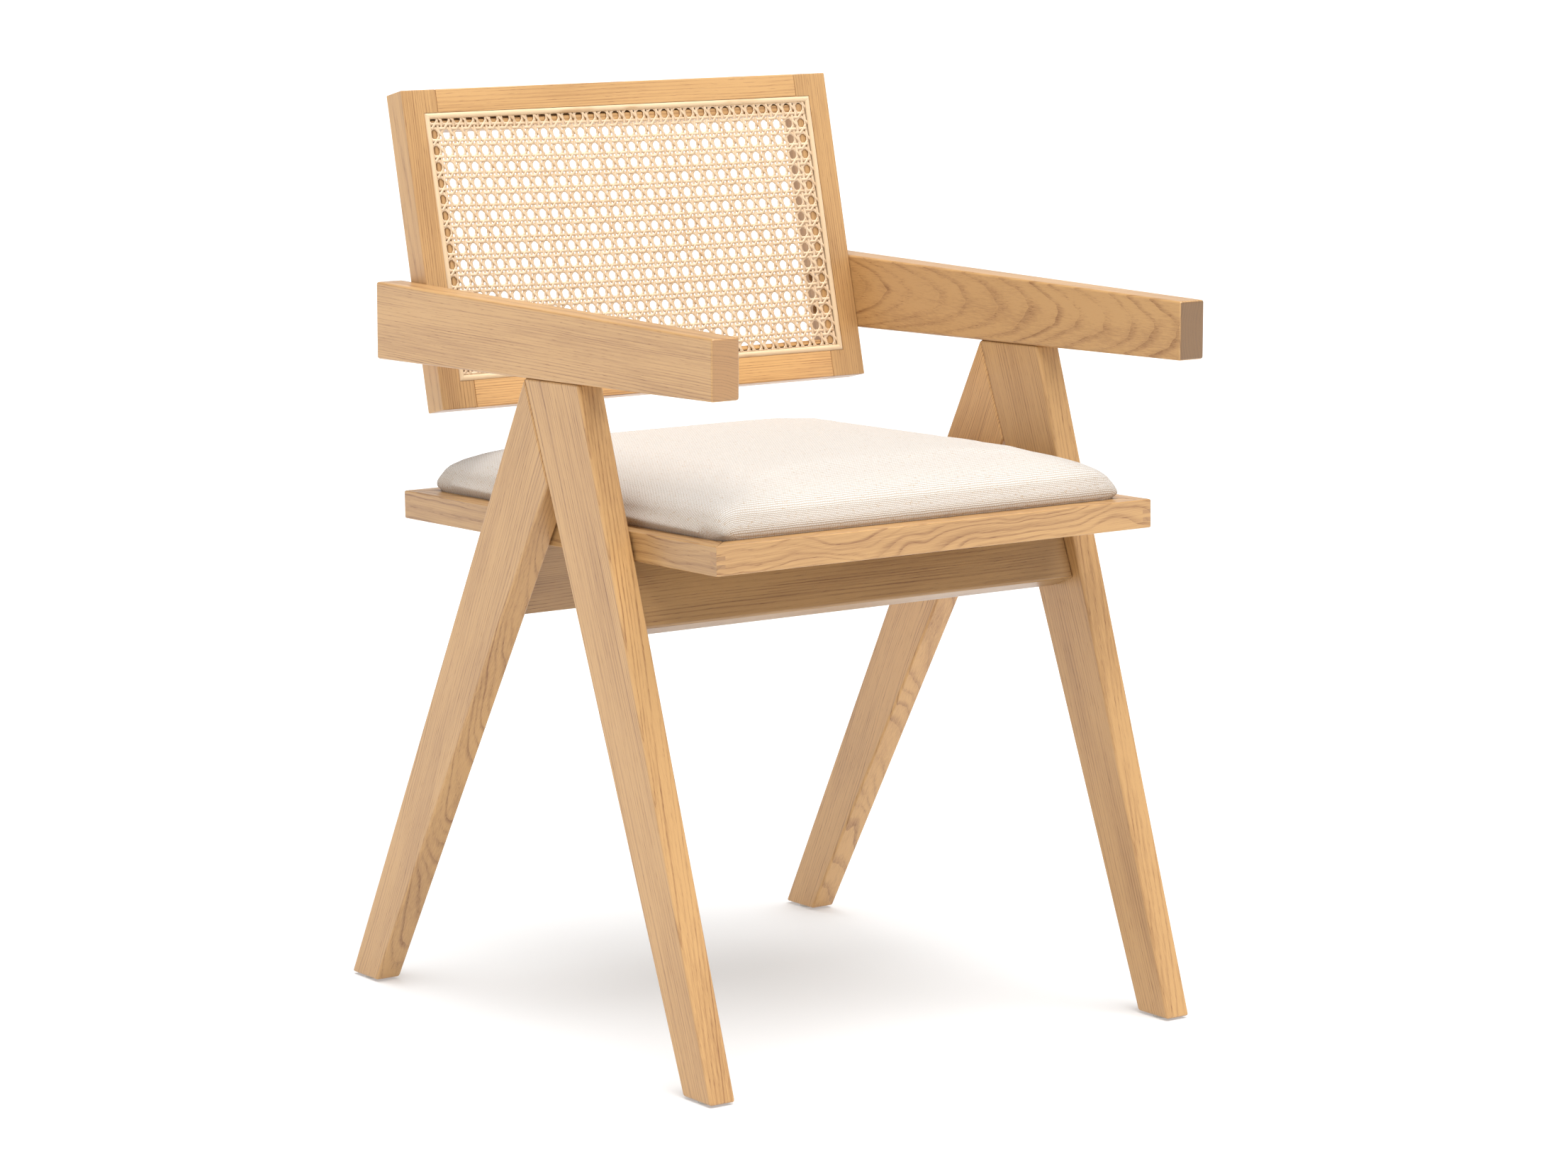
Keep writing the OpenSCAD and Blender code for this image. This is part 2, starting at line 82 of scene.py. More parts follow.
class WoodSettings(PropertyGroup):
    frame_ease: length("Frame edge radius", "Rounding along the edges of arms, legs and crossbars", 2.2 * MM)
    panel_ease: length("Panel edge radius", "Rounding along the edges of the seat and back frames", 1.1 * MM)
    ring: length("Ring spacing", "Distance between two growth rings of the ash", 2.4 * MM)
    pale: colour("Late wood", "Pale wood between the porous bands", (0.540, 0.308, 0.118))
    dark: colour("Early wood", "Porous bands of the growth rings", (0.215, 0.083, 0.022))
    end: colour("End grain", "Wood cut across the grain", (0.400, 0.212, 0.083))


class CaneSettings(PropertyGroup):
    across: length("Pitch across", "Distance between two upright pairs", 12.73 * MM)
    up: length("Pitch up", "Distance between two cross pairs", 13.94 * MM)
    pair: length("Pair spacing", "Distance between the two strands of a pair", 3.8 * MM)
    strand: length("Strand width", "Width of an upright or cross strand", 2.3 * MM)
    binder: length("Diagonal width", "Width of a diagonal strand", 2.1 * MM)
    thickness: length("Strand thickness", "Thickness of a strand", 0.45 * MM)
    weave: length("Weave height", "How far a strand rises and falls as it crosses the others", 0.30 * MM)
    steps: IntProperty(name="Steps", description="Lengths of strand per pitch", default=6, min=4, max=12)
    skin: colour("Cane skin", "Glossy face of the cane", (0.79, 0.60, 0.405))
    edge: colour("Cane shade", "Darker strands", (0.46, 0.245, 0.09))
    reed: colour("Reed", "Bead round the cane", (0.74, 0.555, 0.35))


class PadSettings(PropertyGroup):
    voxel: length("Remesh size", "Cell of the cloth mesh before it is blown up", 5 * MM)
    slack: length("Slack", "How much smaller the cover starts than the finished pad", 1.5 * MM)
    pressure: strength("Pressure", "Air pressure that rounds the cover", 4)
    reach: length("Most movement", "Furthest that a point of the cover may end from where it began", 1.5 * MM)
    rib: length("Rib pitch", "Distance between two ribs of the cloth", 2.0 * MM)
    seed: length("Bead pitch", "Distance between two beads along a rib", 2.3 * MM)
    light: colour("Cloth", "Raised threads", (0.63, 0.615, 0.59))
    shade: colour("Cloth shade", "Between the threads", (0.42, 0.28, 0.155))


class StudioSettings(PropertyGroup):
    azimuth: angle("Azimuth", "Camera round the chair", -35.8)
    elevation: angle("Elevation", "Camera above the horizon", 9.36)
    distance: length("Distance", "Camera to the middle of the chair", 4.095)
    lens: FloatProperty(name="Focal length", description="Camera lens in millimetres", default=111.7, min=1)
    sky: strength("Sky", "Brightness of the surround overhead", 0.32)
    horizon: strength("Horizon", "Brightness of the surround low down", 1.1)
    top: strength("Overhead", "Strength of the wide overhead light", 4.7)
    spread: angle("Overhead spread", "Angle that the overhead light comes from", 70)
    glow: strength("Floor light", "Light that the floor gives off itself", 0.32)
    floor: colour("Floor", "Floor paper", (0.62, 0.62, 0.62))


# ---- frames of the seat and the back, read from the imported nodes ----

SEAT_FALL = 10 * MM
SEAT_D = 464 * MM
SEAT_TILT = math.asin(SEAT_FALL / SEAT_D)
BACK_LEAN = math.radians(13.2)
BACK_T = 25 * MM
RAIL_H = 24 * MM


def seat_frame():
    """Middle of the seat frame's top front edge; y runs back along the frame."""
    low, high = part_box("seat_front_rail")
    corner = Matrix.Translation((0, low.y + RAIL_H * math.sin(SEAT_TILT), high.z))
    return corner @ Matrix.Rotation(-SEAT_TILT, 4, "X")


def back_frame():
    """Middle of the back panel's bottom front edge; z runs up the panel and y to the rear."""
    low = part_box("back_left_stile")[0]
    corner = Matrix.Translation((0, low.y, low.z + BACK_T * math.sin(BACK_LEAN)))
    return corner @ Matrix.Rotation(-BACK_LEAN, 4, "X")


# ---- node trees ----

def put(tree, kind, sockets=None, **settings):
    """Adds a node; a socket's value is a number, a colour or the output that feeds it."""
    node = tree.nodes.new(kind)
    for key, value in settings.items():
        setattr(node, key, value)
    for key, value in (sockets or {}).items():
        if isinstance(value, bpy.types.NodeSocket):
            tree.links.new(value, node.inputs[key])
        else:
            node.inputs[key].default_value = value
    return node


def calc(tree, operation, *values, clamp=False):
    sockets = dict(enumerate(values))
    return put(tree, "ShaderNodeMath", sockets, operation=operation, use_clamp=clamp).outputs[0]


def blend(tree, factor, a, b):
    rgba = [(*v, 1) if isinstance(v, (tuple, list)) and len(v) == 3 else v for v in (a, b)]
    return put(tree, "ShaderNodeMix", {0: factor, 6: rgba[0], 7: rgba[1]}, data_type="RGBA").outputs[2]


def spread(tree, value, low, high, out_low=0.0, out_high=1.0):
    """Smooth step from one range to another."""
    return put(tree, "ShaderNodeMapRange", {0: value, 1: low, 2: high, 3: out_low, 4: out_high},
               interpolation_type="SMOOTHSTEP").outputs[0]


def grain_noise(tree, vector, scale, detail=2.0, rough=0.5, offset=0.0):
    """Noise of a vector stretched by scale (three numbers per metre)."""
    placed = put(tree, "ShaderNodeMapping", {"Vector": vector, "Scale": scale, "Location": (offset,) * 3},
                 vector_type="POINT")
    sockets = {"Vector": placed.outputs[0], "Scale": 1.0, "Detail": detail, "Roughness": rough}
    return put(tree, "ShaderNodeTexNoise", sockets).outputs[0]


def new_group(name, inputs, outputs):
    """A shader group with named sockets, each (name, socket type, default)."""
    tree = bpy.data.node_groups.new(name, "ShaderNodeTree")
    for items, way in ((inputs, "INPUT"), (outputs, "OUTPUT")):
        for label, kind, *default in items:
            socket = tree.interface.new_socket(label, in_out=way, socket_type=kind)
            if default:
                socket.default_value = default[0]
    return tree, tree.nodes.new("NodeGroupInput").outputs, tree.nodes.new("NodeGroupOutput").inputs


def ash_group():
    """Growth rings round the Z axis of its Position: colour, roughness and height of open-grained ash."""
    found = bpy.data.node_groups.get("Ash")
    if found:
        return found
    tree, given, out = new_group("Ash", [
        ("Position", "NodeSocketVector"), ("End", "NodeSocketFloat", 0.0),
        ("Late Wood", "NodeSocketColor", (0.5, 0.3, 0.2, 1)),
        ("Early Wood", "NodeSocketColor", (0.3, 0.2, 0.1, 1)),
        ("End Grain", "NodeSocketColor", (0.3, 0.15, 0.08, 1)),
        ("Ring", "NodeSocketFloat", 0.003), ("Wander", "NodeSocketFloat", 0.006),
        ("Swirl", "NodeSocketFloat", 0.0),
        ("Tone", "NodeSocketFloat", 1.0)],
        [("Color", "NodeSocketColor"), ("Roughness", "NodeSocketFloat"), ("Height", "NodeSocketFloat")])
    at = given["Position"]
    parts = put(tree, "ShaderNodeSeparateXYZ", {0: at})
    radius = calc(tree, "SQRT", calc(tree, "ADD", calc(tree, "MULTIPLY", parts.outputs[0], parts.outputs[0]),
                                     calc(tree, "MULTIPLY", parts.outputs[1], parts.outputs[1])))
    slow = calc(tree, "SUBTRACT", grain_noise(tree, at, (11, 11, 2.6), 1.0), 0.5)
    quick = calc(tree, "SUBTRACT", grain_noise(tree, at, (90, 90, 11), 2.0, offset=5), 0.5)
    swirl = calc(tree, "SUBTRACT", grain_noise(tree, at, (15, 15, 10), 2.0, 0.4, offset=21), 0.5)
    wander = calc(tree, "ADD", calc(tree, "MULTIPLY", slow, given["Wander"]),
                  calc(tree, "MULTIPLY", quick, 0.0016))
    wander = calc(tree, "ADD", wander, calc(tree, "MULTIPLY", swirl, given["Swirl"]))
    bent = calc(tree, "ADD", radius, wander)
    # uneven years: the ring count runs faster and slower along the radius
    years = put(tree, "ShaderNodeTexNoise",
                {"W": calc(tree, "MULTIPLY", bent, 75), "Scale": 1.0, "Detail": 1.0},
                noise_dimensions="1D").outputs[0]
    count = calc(tree, "ADD", calc(tree, "DIVIDE", bent, given["Ring"]), calc(tree, "MULTIPLY", years, 2.6))
    phase = calc(tree, "FRACT", count)
    early = calc(tree, "MULTIPLY", spread(tree, phase, 0.06, 0.50, 1, 0), spread(tree, phase, 0.0, 0.05))
    late = spread(tree, phase, 0.72, 1.0)
    year_tone = put(tree, "ShaderNodeTexWhiteNoise", {"W": calc(tree, "FLOOR", count)},
                    noise_dimensions="1D").outputs[0]
    faded = spread(tree, grain_noise(tree, at, (70, 70, 6), 2.0, offset=17), 0.30, 0.68, 0.35, 1.0)
    strong = calc(tree, "MULTIPLY", early, calc(tree, "MULTIPLY_ADD", year_tone, 0.9, 0.3))
    band = calc(tree, "MULTIPLY", strong, faded)
    pores = spread(tree, grain_noise(tree, at, (2300, 2300, 95), 1.0, offset=2), 0.56, 0.72)
    pores = calc(tree, "MULTIPLY", pores, calc(tree, "MULTIPLY_ADD", early, 0.85, 0.15))
    fibre = calc(tree, "SUBTRACT", grain_noise(tree, at, (1100, 1100, 16), 3.0, 0.65, offset=9), 0.5)
    cloud = calc(tree, "SUBTRACT", grain_noise(tree, at, (38, 38, 5), 2.0, offset=13), 0.5)
    amount = calc(tree, "ADD", calc(tree, "MULTIPLY", band, 0.62), calc(tree, "MULTIPLY", pores, 0.50))
    amount = calc(tree, "ADD", amount, calc(tree, "MULTIPLY", late, 0.10))
    amount = calc(tree, "ADD", amount, calc(tree, "MULTIPLY", fibre, 1.15))
    amount = calc(tree, "ADD", amount, calc(tree, "MULTIPLY_ADD", cloud, 0.9, 0.07), clamp=True)
    face = blend(tree, amount, given["Late Wood"], given["Early Wood"])
    end_amount = calc(tree, "MULTIPLY_ADD", band, 0.55, calc(tree, "MULTIPLY", pores, 0.4), clamp=True)
    end_dark = blend(tree, 0.55, given["End Grain"], (0.05, 0.02, 0.01))
    ends = blend(tree, end_amount, given["End Grain"], end_dark)
    both = blend(tree, given["End"], face, ends)
    toned = put(tree, "ShaderNodeVectorMath", {0: both, "Scale": given["Tone"]}, operation="SCALE").outputs[0]
    tree.links.new(toned, out["Color"])
    rough = calc(tree, "MULTIPLY_ADD", pores, 0.2, calc(tree, "MULTIPLY_ADD", fibre, 0.12, 0.47))
    height = calc(tree, "MULTIPLY_ADD", pores, -1.0, calc(tree, "MULTIPLY", early, -0.25))
    tree.links.new(rough, out["Roughness"])
    tree.links.new(height, out["Height"])
    return tree


def new_material(name):
    """(material, node tree, shader) of a new material."""
    material = bpy.data.materials.new(name)
    material.use_nodes = True
    return material, material.node_tree, material.node_tree.nodes["Principled BSDF"]


def bumped(tree, shader, height, distance, strength=1.0):
    bump = put(tree, "ShaderNodeBump", {"Height": height, "Distance": distance, "Strength": strength})
    tree.links.new(bump.outputs[0], shader.inputs["Normal"])


def ash(name, along, heart, wood, tone=1.0, ring=1.0, wander=0.006, swirl=0.0, end_grain_shade=1.0):
    """Ash whose rings lie round the line through heart in the direction along; tone lightens or darkens it,
    and the end factor its end grain. The crossbars' tone and the right arm's end factor darken the wood as
    painted shade.
    """
    material, tree, shader = new_material("ash_" + name)
    along = Vector(along).normalized()
    coords = put(tree, "ShaderNodeTexCoord")
    turn = along.to_track_quat("Z", "Y").to_euler()
    placed = put(tree, "ShaderNodeMapping", {
        "Vector": coords.outputs["Object"], "Location": heart, "Rotation": turn}, vector_type="TEXTURE")
    facing = put(tree, "ShaderNodeVectorMath", {0: coords.outputs["Normal"], 1: along},
                 operation="DOT_PRODUCT").outputs["Value"]
    end = spread(tree, calc(tree, "ABSOLUTE", facing), 0.62, 0.88)
    made = put(tree, "ShaderNodeGroup", {
        "Position": placed.outputs[0], "End": end, "Late Wood": (*wood.pale, 1), "Early Wood": (*wood.dark, 1),
        "End Grain": (*(end_grain_shade * c for c in wood.end), 1), "Ring": wood.ring * ring, "Wander": wander,
        "Swirl": swirl, "Tone": tone}, node_tree=ash_group())
    tree.links.new(made.outputs["Color"], shader.inputs["Base Color"])
    tree.links.new(made.outputs["Roughness"], shader.inputs["Roughness"])
    shader.inputs["Coat Weight"].default_value = 0.5
    shader.inputs["Coat Roughness"].default_value = 0.32
    bumped(tree, shader, made.outputs["Height"], 0.00012, 0.7)
    return material


# ---- meshes ----

WELD = 0.004 * MM
SHARP = math.radians(25)
SMOOTH = math.radians(35)


def finish_piece(bm, name, material, nodes):
    """Turns a mesh into a piece that rides on the frame and stands for its nodes."""
    mesh = bpy.data.meshes.new(name)
    bm.to_mesh(mesh)
    bm.free()
    piece = bpy.data.objects.new(name, mesh)
    bpy.context.scene.collection.objects.link(piece)
    mesh.materials.clear()
    mesh.materials.append(material)
    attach(piece, "root")
    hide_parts(*nodes)
    return piece


def neighbours(name):
    """Search tree of every solid but this one and the soft pad."""
    verts, faces = [], []
    for other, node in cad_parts.items():
        if other not in (name, "seat_pad"):
            start = len(verts)
            verts += [v.co.copy() for v in node.data.vertices]
            faces += [[start + i for i in p.vertices] for p in node.data.polygons]
    return BVHTree.FromPolygons(verts, faces)


def covered(tree, point, edge, probe=1.2 * MM, reach=0.7 * MM):
    """True where another piece lies against either face beside this point of an edge."""
    run = (edge.verts[1].co - edge.verts[0].co).normalized()
    for face in edge.link_faces:
        inward = face.normal.cross(run)
        loop = next(l for l in face.loops if l.edge == edge)
        if loop.vert != edge.verts[0]:
            inward.negate()
        start = point + inward * probe + face.normal * 0.03 * MM
        if tree.ray_cast(start, face.normal, reach)[0] is not None:
            return True
    return False


def open_runs(tree, edge, step=3 * MM):
    """Shares along an edge where it goes from covered to open or back."""
    a, b = (v.co.copy() for v in edge.verts)
    n = max(4, int((b - a).length / step))
    state = [covered(tree, a.lerp(b, (i + 0.5) / n), edge) for i in range(n)]
    cuts = []
    for i in range(n - 1):
        if state[i] != state[i + 1]:
            low, high = (i + 0.5) / n, (i + 1.5) / n
            for _ in range(8):
                mid = (low + high) / 2
                if covered(tree, a.lerp(b, mid), edge) == state[i]:
                    low = mid
                else:
                    high = mid
            cuts.append(high)
    return cuts


def soften(name, width, material):
    """A copy of a node with its open edges rounded; edges that close a joint stay crisp."""
    bm = bmesh.new()
    bm.from_mesh(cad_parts[name].data)
    bmesh.ops.remove_doubles(bm, verts=bm.verts, dist=WELD)
    bmesh.ops.dissolve_limit(bm, angle_limit=math.radians(0.6), verts=bm.verts, edges=bm.edges)
    bm.normal_update()
    tree = neighbours(name)
    sharp = [e for e in bm.edges if len(e.link_faces) == 2 and e.calc_face_angle(0) > SHARP
             and e.calc_length() > 4 * MM and e.is_convex]
    for edge in sharp:
        cuts, done, start = open_runs(tree, edge), 0.0, edge.verts[0]
        for share in cuts:
            edge, vert = split_at(edge, start, share, done)
            done, start = share, vert
    bm.normal_update()
    chosen = [e for e in bm.edges if len(e.link_faces) == 2 and e.calc_face_angle(0) > SHARP
              and e.is_convex and e.calc_length() > 10 * MM and not rim(e)
              and not covered(tree, (e.verts[0].co + e.verts[1].co) / 2, e)]
    bmesh.ops.bevel(bm, geom=chosen, offset=width, offset_type="OFFSET", segments=3, profile=0.5,
                    affect="EDGES", clamp_overlap=True, material=-1)
    bmesh.ops.remove_doubles(bm, verts=bm.verts, dist=WELD)
    bm.normal_update()
    for face in bm.faces:
        face.smooth = True
    for edge in bm.edges:
        edge.smooth = edge.calc_face_angle(0) < SMOOTH
    piece = finish_piece(bm, name + "_wood", material, [name])
    weighted = piece.modifiers.new("even shading", "WEIGHTED_NORMAL")
    weighted.keep_sharp = True
    weighted.weight = 100
    return piece


def split_at(edge, start, share, done):
    """Splits what is left of an edge at a share of its whole length; the rest and the new vertex."""
    factor = (share - done) / (1 - done)
    made, vert = bmesh.utils.edge_split(edge, start, factor)
    rest = edge if start not in edge.verts else made
    return rest, vert


def rim(edge):
    """True beside the facets of a drilled hole."""
    return any(len(f.verts) == 4 and min(e.calc_length() for e in f.edges) < 2 * MM for f in edge.link_faces)


# ---- operators ----

def leg_line(name):
    """Foot and top of a leg's middle line, from its corners."""
    verts = [v.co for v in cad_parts[name].data.vertices]
    low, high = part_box(name)
    foot = [v for v in verts if v.z < low.z + 0.5 * MM]
    top = [v for v in verts if v.z > high.z - 3 * MM]
    return sum(foot, Vector()) / len(foot), sum(top, Vector()) / len(top)


class CHAIR_OT_side_frames(Operator):
    """Arms and splayed legs in solid ash with rounded edges"""
    bl_idname = "chair.side_frames"
    bl_label = "Side frames"

    def execute(self, context):
        wood = context.scene.chair_wood
        # the right arm's end factor 0.50 halves its end grain colour: painted shade on its front end
        arms = {"left_arm": ((0, 1, 0.012), (-0.02, 0, -0.085), 1.0, 1.0, 0.002, 1.0),
                "right_arm": ((-0.085, 1, 0.0), (0.055, 0, 0.004), 1.0, 1.3, 0.004, 0.50)}
        for name, (along, heart, tone, ring, swirl, end) in arms.items():
            low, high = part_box(name)
            material = ash(name, along, (low + high) / 2 + Vector(heart), wood, tone, ring,
                           swirl=swirl, end_grain_shade=end)
            soften(name, wood.frame_ease, material)
        legs = {"left_front_leg": ((0.10, 0.10, -0.02), 1.0, 1.0, 0.0),
                "right_front_leg": ((-0.06, -0.12, 0.03), 0.96, 1.2, 0.003),
                "left_rear_leg": ((0.012, -0.07, -0.05), 0.97, 1.1, 0.012),
                "right_rear_leg": ((-0.012, 0.06, 0.03), 1.13, 1.1, 0.010)}
        for name, (heart, tone, ring, swirl) in legs.items():
            foot, top = leg_line(name)
            along = top - foot + Vector((0.003, 0.006, 0))
            material = ash(name, along, foot + Vector(heart), wood, tone, ring, swirl=swirl)
            soften(name, wood.frame_ease, material)
        return {"FINISHED"}


class CHAIR_OT_crossbars(Operator):
    """Two crossbars under the seat"""
    bl_idname = "chair.crossbars"
    bl_label = "Crossbars"

    def execute(self, context):
        wood = context.scene.chair_wood
        for name, heart in (("front_crossbar", (0, 0.03, -0.09)), ("rear_crossbar", (0, -0.03, -0.075))):
            low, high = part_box(name)
            # tone 0.66 darkens both crossbars: painted shade of the seat that overhangs them
            material = ash(name, (1, 0.01, 0.008), (low + high) / 2 + Vector(heart), wood, 0.66, 0.75)
            soften(name, wood.frame_ease, material)
        return {"FINISHED"}


class CHAIR_OT_seat_frame(Operator):
    """Mitred seat frame with fingered corners"""
    bl_idname = "chair.seat_frame"
    bl_label = "Seat frame"

    def execute(self, context):
        wood = context.scene.chair_wood
        rails = {"seat_front_rail": ((1, 0.0, 0.05), (0, 0.02, -0.035), 0.98, 0.045),
                 "seat_rear_rail": ((1, 0.03, 0), (0, -0.01, -0.05), 1.0, 0.01),
                 "seat_left_rail": ((0.01, 1, 0.0), (0.03, 0, -0.06), 0.86, 0.022),
                 "seat_right_rail": ((0.02, 1, -0.03), (-0.03, 0, -0.05), 0.98, 0.01)}
        for name, (along, heart, tone, swirl) in rails.items():
            low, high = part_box(name)
            material = ash(name, along, (low + high) / 2 + Vector(heart), wood, tone, 2.2, swirl=swirl)
            soften(name, wood.panel_ease, material)
        return {"FINISHED"}


class CHAIR_OT_back_frame(Operator):
    """Leaning back frame with its reed bead"""
    bl_idname = "chair.back_frame"
    bl_label = "Back frame"

    def execute(self, context):
        wood, cane = context.scene.chair_wood, context.scene.chair_cane
        up = back_frame().to_3x3() @ Vector((0, 0, 1))
        members = {"back_left_stile": (up + Vector((0.012, 0, 0)), (0.07, 0.02, 0), 1.0),
                   "back_right_stile": (up + Vector((-0.01, 0, 0)), (-0.075, 0.015, 0), 1.0),
                   "back_top_rail": ((1, 0, 0.012), (0, 0.02, -0.075), 1.09),
                   "back_bottom_rail": ((1, 0.01, -0.01), (0, 0.02, 0.08), 1.25)}
        for name, (along, heart, tone) in members.items():
            low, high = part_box(name)
            soften(name, wood.panel_ease, ash(name, along, (low + high) / 2 + Vector(heart), wood, tone))
        for name in ("spline_left", "spline_right", "spline_top", "spline_bottom"):
            upright = name in ("spline_left", "spline_right")
            dress(name, reed_material(name, cane, up if upright else Vector((1, 0, 0))))
        return {"FINISHED"}


def dress(name, material):
    """Gives a node that stays as it is its material."""
    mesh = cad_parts[name].data
    mesh.materials.clear()
    mesh.materials.append(material)


def fibre_coords(tree, along):
    coords = put(tree, "ShaderNodeTexCoord")
    turn = Vector(along).to_track_quat("Z", "Y").to_euler()
    return put(tree, "ShaderNodeMapping", {"Vector": coords.outputs["Object"], "Rotation": turn},
               vector_type="TEXTURE").outputs[0]


def reed_material(name, cane, along):
    """Split reed: pale, with long fibres and a few darker stains."""
    material, tree, shader = new_material("reed_" + name)
    at = fibre_coords(tree, along)
    fibre = grain_noise(tree, at, (1800, 1800, 30), 2.0)
    stain = spread(tree, grain_noise(tree, at, (90, 90, 25), 2.0, offset=4), 0.52, 0.75)
    amount = calc(tree, "MULTIPLY_ADD", stain, 0.5, calc(tree, "MULTIPLY_ADD", fibre, 0.5, -0.15), clamp=True)
    base = blend(tree, amount, tuple(cane.reed), tuple(cane.edge))
    tree.links.new(base, shader.inputs["Base Color"])
    shader.inputs["Roughness"].default_value = 0.45
    bumped(tree, shader, fibre, 0.0001, 0.6)
    return material


def cane_material(name, cane, along):
    """Peeled cane: glossy skin with fine fibres, each strand a little different in tone."""
    material, tree, shader = new_material("cane_" + name)
    at = fibre_coords(tree, along)
    fibre = grain_noise(tree, at, (2600, 2600, 45), 2.0)
    stain = spread(tree, grain_noise(tree, at, (260, 260, 60), 2.0, offset=7), 0.50, 0.78)
    strand = put(tree, "ShaderNodeAttribute", attribute_name="strand_tone").outputs["Fac"]
    amount = calc(tree, "ADD", calc(tree, "MULTIPLY", strand, 0.45), calc(tree, "MULTIPLY", stain, 0.35))
    amount = calc(tree, "ADD", amount, calc(tree, "MULTIPLY_ADD", fibre, 0.5, -0.25), clamp=True)
    tree.links.new(blend(tree, amount, tuple(cane.skin), tuple(cane.edge)), shader.inputs["Base Color"])
    shader.inputs["Roughness"].default_value = 0.38
    shader.inputs["Coat Weight"].default_value = 0.15
    bumped(tree, shader, fibre, 0.00008, 0.6)
    return material


# ---- the web inside its frame; heights run up the panel from its lower edge ----

WEB_LOW = 28.4 * MM
WEB_HIGH = 246.7 * MM
WEB_MIDDLE = 144.5 * MM
WEB_DEPTH = 1.15 * MM
WEB_TUCK = 3.5 * MM
WEB_SHIFT = 7.6 * MM
WEB_WIDENING = 0.024 * MM
WEB_RISE = 5 * MM
WEB_LEVEL_FROM = 120 * MM
WEB_RISE_OVER = 300 * MM


class CHAIR_OT_cane(Operator):
    """Woven cane: upright pairs, cross pairs and two sets of diagonals"""
    bl_idname = "chair.cane"
    bl_label = "Woven cane"

    def execute(self, context):
        cane = context.scene.chair_cane
        to_world = back_frame()
        half_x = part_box("cane_panel")[1].x - 0.1 * MM
        sets = {"cane_uprights": (0, cane.strand), "cane_crosswise": (90, cane.strand),
                "cane_rising": (45, cane.binder), "cane_falling": (-45, cane.binder)}
        for name, (turn, width) in sets.items():
            bm = bmesh.new()
            tone = bm.verts.layers.float.new("strand_tone")
            lines = strand_lines(cane, turn, half_x, WEB_MIDDLE - WEB_LOW + 6 * MM)
            for index, (x, z, slant, reach, side) in enumerate(lines):
                n = max(2, int(round(2 * reach / (cane.up / cane.steps))))
                before = set(bm.verts)
                upright = Matrix.Rotation(slant, 4, "Y") @ Matrix.Rotation(math.pi / 2, 4, "X")
                place = Matrix.Translation((x, 0, WEB_MIDDLE + z)) @ upright
                bmesh.ops.create_grid(bm, x_segments=1, y_segments=n, size=0.5,
                                      matrix=place @ Matrix.Diagonal((width, 2 * reach, 1, 1)))
                shade = 0.5 + 0.5 * noise.noise(Vector((index * 7.31, turn * 0.77, 0.4)))
                for vert in set(bm.verts) - before:
                    vert[tone] = shade
                    x, z = vert.co.x, vert.co.z - WEB_MIDDLE
                    vert.co.y = WEB_DEPTH + lift(cane, turn, side, x, z)
                    # an uneven web: the pitch widens to the right and the rows rise at the left
                    vert.co.x = x - WEB_SHIFT + WEB_WIDENING * (x / cane.across) ** 2
                    vert.co.z += WEB_RISE * (min(0.0, vert.co.x - WEB_LEVEL_FROM) / WEB_RISE_OVER) ** 2
            for point, normal in (((half_x, 0, 0), (1, 0, 0)), ((-half_x, 0, 0), (-1, 0, 0)),
                                  ((0, 0, WEB_HIGH), (0, 0, 1)), ((0, 0, WEB_LOW), (0, 0, -1))):
                bmesh.ops.bisect_plane(bm, geom=bm.verts[:] + bm.edges[:] + bm.faces[:],
                                       plane_co=point, plane_no=normal, clear_outer=True, dist=1e-7)
            rim_edges = [e for e in bm.edges if e.is_boundary and all(on_rim(v, half_x) for v in e.verts)]
            turned = bmesh.ops.extrude_edge_only(bm, edges=rim_edges)["geom"]
            tucked = [g for g in turned if isinstance(g, bmesh.types.BMVert)]
            bmesh.ops.translate(bm, verts=tucked, vec=(0, WEB_TUCK, 0))
            bmesh.ops.recalc_face_normals(bm, faces=bm.faces)
            bmesh.ops.transform(bm, matrix=to_world, verts=bm.verts)
            for face in bm.faces:
                face.smooth = True
            along = to_world.to_3x3() @ Matrix.Rotation(math.radians(turn), 3, "Y") @ Vector((0, 0, 1))
            piece = finish_piece(bm, name, cane_material(name, cane, along), ["cane_panel"])
            wall = piece.modifiers.new("strand thickness", "SOLIDIFY")
            wall.thickness = cane.thickness
            wall.offset = 0
        return {"FINISHED"}


def on_rim(vert, half_x, near=1e-5):
    """True where a strand was cut at the edge of the web."""
    return (abs(abs(vert.co.x) - half_x) < near or abs(vert.co.z - WEB_LOW) < near
            or abs(vert.co.z - WEB_HIGH) < near)


def strand_lines(cane, turn, half_x, half_z):
    """(x, z, angle, half length, side) of the strands of one direction, about the panel's middle."""
    if turn in (0, 90):
        pitch, extent, reach = (cane.across, half_x, half_z) if turn == 0 else (cane.up, half_z, half_x)
        count = int(extent / pitch) + 1
        for k in range(-count, count + 1):
            for side in (-1, 1):
                at = (k + 0.5) * pitch + side * cane.pair / 2
                if abs(at) < extent:
                    yield (at, 0, 0, reach, side) if turn == 0 else (0, at, math.pi / 2, reach, side)
    else:
        slope = math.copysign(math.atan2(cane.across, cane.up), turn)
        reach = half_z / math.cos(slope) + cane.up
        count = int((half_x + half_z * math.tan(abs(slope))) / cane.across) + 2
        for k in range(-count, count + 1):
            yield ((k + 0.5) * cane.across, 0, slope, reach, 1 if turn > 0 else -1)


